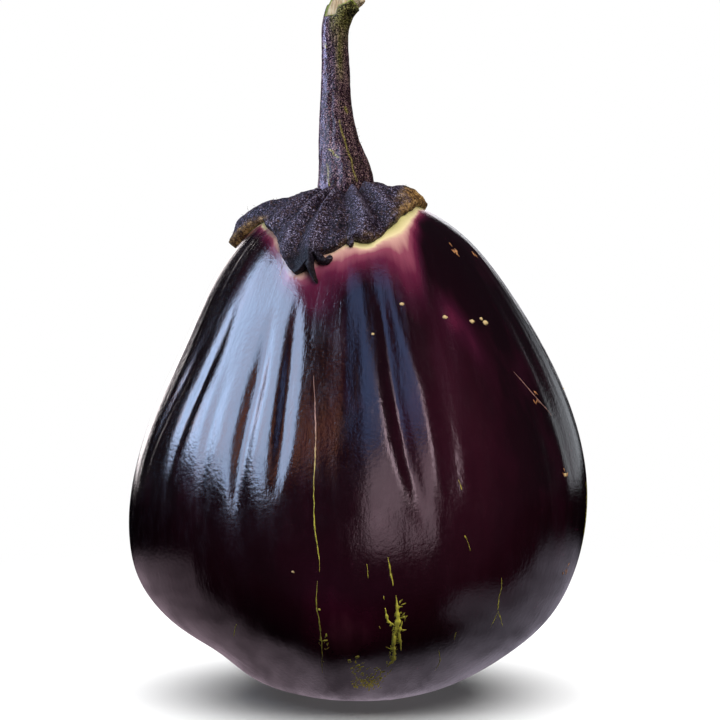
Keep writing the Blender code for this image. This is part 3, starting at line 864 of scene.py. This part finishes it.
def on_skin(skin, azimuth, height):
    """The point of the skin at that place, and its normal."""
    turn = math.radians(azimuth)
    out = Vector((math.cos(turn), math.sin(turn), 0.0))
    hit, normal, _, _ = skin.ray_cast(Vector((0.0, 0.0, height * MM)) + out * 0.2, -out)
    return hit, normal


def add_scar(bm, skin, rows, wobble=0.0):
    """Adds one raised line of cork that follows the skin, thin at both ends."""
    places, levels, widths = (np.array(column, float) for column in zip(*rows))
    ends = [on_skin(skin, *row[:2])[0] for row in rows]
    lengths = np.concatenate([[0.0], np.cumsum([(b - a).length for a, b in zip(ends, ends[1:])])])
    count = max(int(lengths[-1] / SCAR_STEP), 4)
    rings = []
    seed = places[0] * 3.7
    for step in range(count + 1):
        where = lengths[-1] * step / count
        aside = noise.noise(Vector((seed, where * SCAR_WANDERS, 0.0))) * wobble * SKIN_DEGREES
        level = np.interp(where, lengths, levels)
        centre, normal = on_skin(skin, np.interp(where, lengths, places) + aside, level)
        swell = 0.9 + 0.9 * noise.noise(Vector((where * SCAR_SWELLS, seed, 5.0)))
        width = np.interp(where, lengths, widths) * swell * MM
        width *= min(1.0, 0.25 + 6.0 * min(step, count - step) / count)
        rings.append((centre, normal, max(width, SCAR_THINNEST)))
    verts = []
    for i, (centre, normal, width) in enumerate(rings):
        ahead = rings[min(i + 1, count)][0] - rings[max(i - 1, 0)][0]
        side = ahead.cross(normal).normalized()
        ring = []
        for corner in range(SCAR_SIDES):
            turn = 2 * math.pi * corner / SCAR_SIDES
            lift = math.sin(turn) * width * SCAR_LIFT
            ring.append(bm.verts.new(centre + side * math.cos(turn) * width / 2 + normal * lift))
        verts.append(ring)
    for near, far in zip(verts, verts[1:]):
        for corner in range(SCAR_SIDES):
            after = (corner + 1) % SCAR_SIDES
            bm.faces.new((near[corner], near[after], far[after], far[corner]))
    bm.faces.new(verts[0][::-1])
    bm.faces.new(verts[-1])


def add_dot(bm, skin, azimuth, height, size):
    """Adds one low round lump of cork."""
    centre, normal = on_skin(skin, azimuth, height)
    upright = normal.to_track_quat("Z", "Y").to_matrix().to_4x4()
    flat = Matrix.Diagonal((size * MM, size * MM * 0.8, size * MM * 0.45, 1.0))
    place = Matrix.Translation(centre) @ upright @ flat
    made = bmesh.ops.create_icosphere(bm, subdivisions=2, radius=1.0, matrix=place)
    for vert in made["verts"]:
        vert.co += (vert.co - centre) * noise.noise(vert.co * 1800.0) * 0.5


def finish_scars(bm, name, aged_and_lit_heights, aged_and_lit):
    """Makes the scars one piece, which takes on the second colour between the two heights in mm."""
    bmesh.ops.recalc_face_normals(bm, faces=bm.faces)
    scars = object_from(bm, name)
    heights = read(scars.data.vertices, "co")[:, 2] / MM
    # Low down this second colour is partly painted light, making up for the shade under the fruit
    write_attribute(scars.data, "aged_and_lit", rise(heights, *aged_and_lit_heights))
    dress(scars, "scar_cork", cork_material(aged_and_lit))


def scratch_rows(azimuth, height, wide, tall):
    """One fine scratch, at random in its patch."""
    where = azimuth + random.gauss(0, 0.5) * wide * LOW_DEGREES
    level = max(height + random.gauss(0, 0.5) * tall, LOWEST_SCRATCH)
    length = random.uniform(0.5, 2.0)
    lean = random.uniform(-0.6, 1.8)
    bend = random.uniform(-0.4, 0.4)
    climb = length * random.uniform(0.3, 1.0)
    thick = random.choice(SCRATCH_THICK)
    halfway = (where + lean / 2 + bend, level + climb / 2, thick)
    return (where, level, SCRATCH_ENDS), halfway, (where + lean, level + climb, SCRATCH_ENDS)


def scab_rows(azimuth, height, spread):
    """One short flake of a scab."""
    where = azimuth + random.uniform(-1, 1) * spread
    level = height + random.uniform(-1, 1) * spread
    lean = random.uniform(-1.2, 1.2)
    return (where, level, 0.2), (where + lean / 2, level + 0.6, 0.5), (where + lean, level + 1.1, 0.2)


def make_patches(skin, name, patches, rows_of, aged_and_lit_heights, aged_and_lit):
    """Makes one piece of many short scars, in patches that each end with how many."""
    bm = bmesh.new()
    for *patch, count in patches:
        for _ in range(count):
            add_scar(bm, skin, rows_of(*patch))
    finish_scars(bm, name, aged_and_lit_heights, aged_and_lit)


def make_scars(skin):
    for name, lines, aged_and_lit_heights, aged_and_lit in LONG_SCARS:
        bm = bmesh.new()
        for rows in lines:
            add_scar(bm, skin, rows, SCAR_WOBBLE)
        finish_scars(bm, name, aged_and_lit_heights, aged_and_lit)
    bm = bmesh.new()
    for azimuth, height, size in DOTS:
        add_dot(bm, skin, azimuth, height, size)
    finish_scars(bm, "scar_dots", EVERYWHERE, DOT_BEIGE)
    make_patches(skin, "scar_scratches", SCRATCHES, scratch_rows, LOW_SCRATCHES, LOW_YELLOW)
    make_patches(skin, "scar_scabs", SCABS, scab_rows, EVERYWHERE, SCAB_BROWN)


# Camera, light and floor

LOOK_AT = Vector((0, 0, 0.075))
WHITE = (1, 1, 1, 1)
DARK = (0.012, 0.012, 0.015, 1)  # what the pieces get from the world


def towards(azimuth, elevation, distance):
    """The point at that distance from the fruit. Azimuth 0 is the front here, and 90 is the right."""
    turn, up = math.radians(azimuth), math.radians(elevation)
    level = math.cos(up)
    return LOOK_AT + Vector((math.sin(turn) * level, -math.cos(turn) * level, math.sin(up))) * distance


def area_light(name, place, aim, size, radiance, colour):
    """A flat light whose surface has that radiance."""
    data = bpy.data.lights.new(name, "AREA")
    data.shape = "RECTANGLE"
    data.size, data.size_y = size
    data.energy = radiance * size[0] * size[1] * math.pi
    data.color = colour
    light = link(bpy.data.objects.new(name, data))
    light.location = place
    light.rotation_euler = (aim - place).to_track_quat("-Z", "Y").to_euler()
    light.visible_camera = False
    return light


def shine_on(light, objects):
    """The light shines on those objects alone, and is still shaded by the others."""
    group = bpy.data.collections.new(light.name + "_receivers")
    for obj in objects:
        group.objects.link(obj)
    light.light_linking.receiver_collection = group


def make_camera():
    data = bpy.data.cameras.new("camera")
    data.sensor_width = SENSOR
    data.lens = VIEW_DISTANCE / PIXEL / PHOTO_PIXELS * SENSOR
    camera = link(bpy.data.objects.new("camera", data))
    back = math.cos(VIEW_ELEVATION) * VIEW_DISTANCE
    camera.location = (0.0, -back, AIM_HEIGHT + math.sin(VIEW_ELEVATION) * VIEW_DISTANCE)
    camera.rotation_euler = (math.pi / 2 - VIEW_ELEVATION, 0.0, 0.0)
    bpy.context.scene.camera = camera


def make_world():
    """White for the camera, and dark for everything else."""
    world = bpy.data.worlds.new("studio")
    bpy.context.scene.world = world
    world.use_nodes = True
    tree = world.node_tree
    background = tree.nodes["Background"]
    path = tree.nodes.new("ShaderNodeLightPath")
    mix = tree.nodes.new("ShaderNodeMix")
    mix.data_type = "RGBA"
    mix.inputs[6].default_value = DARK
    mix.inputs[7].default_value = WHITE
    tree.links.new(path.outputs["Is Camera Ray"], mix.inputs[0])
    tree.links.new(mix.outputs[2], background.inputs["Color"])


FLOOR_FRONT = -0.3
FLOOR_HALF = 1.5
FLOOR_BACK = 2
FLOOR_GREY = (0.85, 0.85, 0.85, 1)
SHADOW_GLOW = 0.05  # what the floor gives off in the shadow
SHADOW_REACH = (0.05, 0.26)  # how far from the fruit's middle it starts to fade, and is gone
FLOOR_CLEARS = (-0.1, -0.08)  # in front of this the fruit's gloss looks through the floor

# The table that the fruit's gloss shows in place of the floor
TABLE_EDGE = (-0.048, -0.036)  # where along Y it starts and is fully there
TABLE_TURN = (0.085, 0.5)  # where along X this edge turns back, and how steeply
TABLE_WAVES = 0.035  # how much the edge wanders
TABLE_REACH = (0.14, 0.24)  # the same as SHADOW_REACH, for the table
TABLE_PATCH = (0.066, -0.053)  # the middle of a smaller patch in front of it
PATCH_REACH = (0.017, 0.027)
TABLE_GLOW = 0.32
TABLE_WARM, TABLE_COOL = (1, 0.74, 0.88), (0.9, 0.81, 1)  # on its left and its right
TABLE_TURNS_COOL = (-0.06, 0.06)  # between these places along X


def table_glow(nodes, place, parts, away):
    """How strongly the table glows."""
    waves = nodes.centred(nodes.noise(place, 26, 4, 0.7), TABLE_WAVES)
    beyond = nodes.calc("MAXIMUM", nodes.calc("SUBTRACT", parts["X"], TABLE_TURN[0]), 0)
    depth = nodes.calc("SUBTRACT", parts["Y"], nodes.times(beyond, TABLE_TURN[1]))
    depth = nodes.calc("ADD", depth, waves)
    from_patch = nodes.vector("DISTANCE", place, (*TABLE_PATCH, 0), "Value")
    from_patch = nodes.calc("ADD", from_patch, waves)
    patch = nodes.between(from_patch, *PATCH_REACH, 0.8, 0)
    table = nodes.calc("MAXIMUM", nodes.between(depth, *TABLE_EDGE), patch)
    table = nodes.times(table, nodes.between(away, *TABLE_REACH, 1, 0))
    patches = nodes.between(nodes.noise(place, 40, 5, 0.75), 0.36, 0.6, 0.45, 1.25)
    return nodes.times(nodes.times(table, patches), TABLE_GLOW)


def make_floor():
    """A pale floor that takes the fruit's soft shadow, and is plain white further off."""
    floor = sheet("floor", FLOOR_HALF, FLOOR_FRONT, FLOOR_BACK)
    nodes = Nodes("pale_floor")
    place = nodes.place()
    parts = nodes.parts(place)
    away = nodes.vector("LENGTH", place, result="Value")
    seen = nodes.add("LightPath").outputs["Is Camera Ray"]
    matt = nodes.add("BsdfDiffuse", {"Color": FLOOR_GREY}).outputs[0]
    matt = nodes.add("AddShader", {0: matt, 1: nodes.glow(WHITE, SHADOW_GLOW)}).outputs[0]
    table_colour = nodes.mix(nodes.between(parts["X"], *TABLE_TURNS_COOL), TABLE_WARM, TABLE_COOL)
    table = nodes.glow(table_colour, table_glow(nodes, place, parts, away))
    near = nodes.mix_shaders(seen, table, matt)
    plain = nodes.times(nodes.between(away, *SHADOW_REACH), seen)
    mixed = nodes.mix_shaders(plain, near, nodes.glow(WHITE, 1))
    clear = nodes.add("BsdfTransparent").outputs[0]
    solid = nodes.calc("MAXIMUM", seen, nodes.between(parts["Y"], *FLOOR_CLEARS))
    nodes.show(nodes.mix_shaders(solid, clear, mixed))
    floor.data.materials.append(nodes.material)
    floor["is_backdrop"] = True
    return floor


# Cards that only gloss shows, as (name, azimuth, elevation, roll, size, strength, colour, share of its half
# that the soft edge takes, patchiness)
CARDS = (
    ("dim_sky", 6, 48, 0, (0.46, 0.8), 1.8, (0.3, 0.48, 1), 0.35, 0.5),
    ("dim_wall", 16, 4, 0, (0.58, 0.84), 2.3, (1, 0.72, 0.84), 0.4, 0.8),
    ("ridge_glow", 30, 26, -22, (0.15, 0.8), 9, (1, 0.74, 0.84), 0.7, 0.4),
    ("dim_warm", -30, 30, 0, (0.3, 0.44), 2.2, (1, 0.4, 0.24), 0.9, 0.7),
    ("rear_right", 142, 0, 0, (0.66, 0.36), 0.6, (0.88, 0.93, 1), 0.4, 0.3),
    ("rear_left", -163, 3, 0, (0.54, 0.6), 3.2, (1, 0.92, 0.93), 0.4, 0.2),
    ("rim_right", 174, 3, 0, (0.2, 0.6), 1.6, (0.95, 0.95, 1), 0.4, 0.2),
)
CARD_DISTANCE = 0.9
WINDOW_AZIMUTH = -79
WINDOW_SIZE = (1.36, 1.0)
WINDOW_LIFT = 0.7  # of its middle above the point that the lights aim at
# Its strength, colour, soft edge and patchiness, as a card's, and its colour where it is dimmest
WINDOW_LOOK = (11, (0.5, 0.67, 1), 0.1, 0.5, (0.85, 0.42, 0.3))
# Lights, with their radiance and colour. Those aimed at the fruit start with (name, direction, size).
WINDOW_LIGHT = (2.4, (0.8, 0.84, 1))
FILLS = (
    ("fill", (30, 50, 0.9), (0.8, 0.8), 6.5, (1, 0.94, 0.94)),
    ("back_fill", (165, 45, 1), (1, 0.8), 1.6, (1, 0.96, 0.92)),
)
STALK_STRIP = ("stalk_strip", (-84, -4, 0.9), (0.34, 1.1), 30, (0.54, 0.58, 1))
ABOVE = Vector((0, 0.02, 0.9))  # of the floor's own light, which points straight down
ABOVE_LIGHT = ((1.9, 1.9), 3.6, (1, 1, 1))


def card(name, place, way, roll, size, strength, colour, soft, patchy, shade=None):
    """A plane facing along the way that glows in the fruit's gloss and lights nothing else."""
    obj = sheet(name, size[0] / 2, -size[1] / 2, size[1] / 2)
    obj.location = place
    facing = way.to_track_quat("Z", "Y") @ Quaternion((0.0, 0.0, 1.0), math.radians(roll))
    obj.rotation_euler = facing.to_euler()
    nodes = Nodes(name + "_glow")
    where = nodes.place()
    wander = nodes.noise(where, 7, 4, 0.6)
    parts = nodes.parts(where)
    shape = strength
    for axis, half in (("X", size[0] / 2), ("Y", size[1] / 2)):
        reach = nodes.calc("ADD", nodes.calc("ABSOLUTE", parts[axis]), nodes.centred(wander, half * patchy))
        shape = nodes.times(nodes.between(reach, half * (1 - soft), half * 0.97, 1, 0), shape)
    shape = nodes.times(nodes.between(wander, 0.3, 0.65, 1 - patchy, 1), shape)
    colour = nodes.mix(nodes.between(wander, 0.33, 0.47), shade or colour, colour)
    nodes.show(nodes.glow(colour, shape))
    obj.data.materials.append(nodes.material)
    for ray in ("camera", "diffuse", "shadow", "transmission", "volume_scatter"):
        setattr(obj, "visible_" + ray, False)
    obj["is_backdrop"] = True


def aimed_light(name, direction, *look):
    return area_light(name, towards(*direction), LOOK_AT, *look)


def make_lights(floor, bark):
    """The window on the left, two fills, the strip in the bark's gloss, the cards and the floor's light."""
    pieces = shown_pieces()
    place = towards(WINDOW_AZIMUTH, 0, CARD_DISTANCE) + Vector((0, 0, WINDOW_LIFT))
    level = (LOOK_AT - place) * Vector((1, 1, 0))
    card("window_card", place, level, 0, WINDOW_SIZE, *WINDOW_LOOK)
    window = area_light("window", place, place + level, WINDOW_SIZE, *WINDOW_LIGHT)
    for light in [window] + [aimed_light(*row) for row in FILLS]:
        light.visible_glossy = False
        shine_on(light, pieces)
    strip = aimed_light(*STALK_STRIP)
    strip.data.diffuse_factor = 0.0
    shine_on(strip, [bark])
    for name, azimuth, elevation, *look in CARDS:
        spot = towards(azimuth, elevation, CARD_DISTANCE)
        card(name, spot, LOOK_AT - spot, *look)
    above = area_light("above", ABOVE, ABOVE * Vector((1, 1, 0)), *ABOVE_LIGHT)
    above.visible_glossy = False
    shine_on(above, [floor])


def set_picture():
    scene = bpy.context.scene
    scene.view_settings.view_transform = "Standard"
    scene.cycles.use_denoising = True


def main():
    random.seed(SEED)
    make_camera()
    make_world()
    skin = tree_of(make_fruit())
    calyx = make_calyx(skin)
    bark = make_stalk()
    make_bristles(tree_of(calyx), tree_of(bark))
    make_scars(skin)
    make_lights(make_floor(), bark)
    set_picture()


main()
